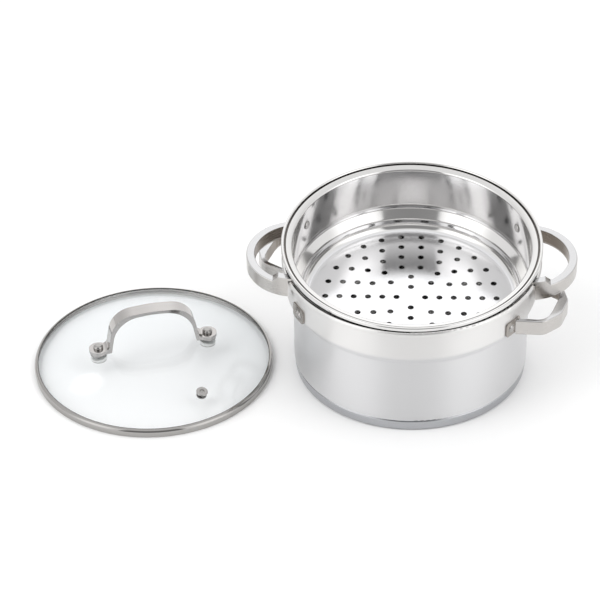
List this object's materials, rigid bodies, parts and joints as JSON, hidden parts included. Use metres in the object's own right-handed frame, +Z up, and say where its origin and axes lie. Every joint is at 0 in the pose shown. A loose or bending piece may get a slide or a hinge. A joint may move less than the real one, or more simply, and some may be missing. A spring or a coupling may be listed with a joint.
{
  "type": "steamer pot",
  "caption": "Steel steamer pot: riveted two-handled pot, perforated insert standing tilted in it, and a glass lid with strap handle and steam vent beside them.",
  "frame": {"origin": "on the pot's own axis at floor level, the middle of its flat base", "axes": "+X to the right along the line of the insert's handles, away from the lid, +Y away from the front, +Z up"},
  "size_m": [0.5463, 0.2597, 0.1558],
  "materials": {
    "satin_steel": "satin",
    "polished_steel": "polished",
    "core_aluminium": "cast",
    "cap_steel": "satin",
    "clear_glass": "clear, tempered",
    "fastener_steel": "polished",
    "clear_cushion": "translucent silicone"
  },
  "bodies": {
    "pot": {"pot_body": "satin_steel", "base_core": "core_aluminium", "base_cap": "cap_steel", "pot_handle_left": "satin_steel", "pot_plates_left": "satin_steel", "pot_rivets_left": "fastener_steel", "pot_handle_right": "satin_steel", "pot_plates_right": "satin_steel", "pot_rivets_right": "fastener_steel", "pot_front_plate": "satin_steel", "pot_front_rivet": "fastener_steel"},
    "insert": {"insert_body": "polished_steel", "insert_handle_left": "satin_steel", "insert_plates_left": "satin_steel", "insert_rivets_left": "fastener_steel", "insert_handle_right": "satin_steel", "insert_plates_right": "satin_steel", "insert_rivets_right": "fastener_steel"},
    "lid": {"lid_glass": "clear_glass", "lid_rim": "polished_steel", "lid_handle": "satin_steel", "lid_handle_seats": "fastener_steel", "lid_handle_nuts": "fastener_steel", "lid_handle_screws": "fastener_steel", "lid_handle_washers": "fastener_steel", "lid_handle_cushions": "clear_cushion", "vent_eyelet": "fastener_steel", "vent_collar": "fastener_steel"}
  },
  "joints": [
    {"name": "insert_lift", "type": "slide", "parent": "pot", "child": "insert", "axis": [0, 0, 1], "range_m": [0, 0.16]},
    {"name": "lid_lift", "type": "slide", "parent": "pot", "child": "lid", "axis": [-0.5, 0, 0.866], "range_m": [0, 0.2]}
  ]
}
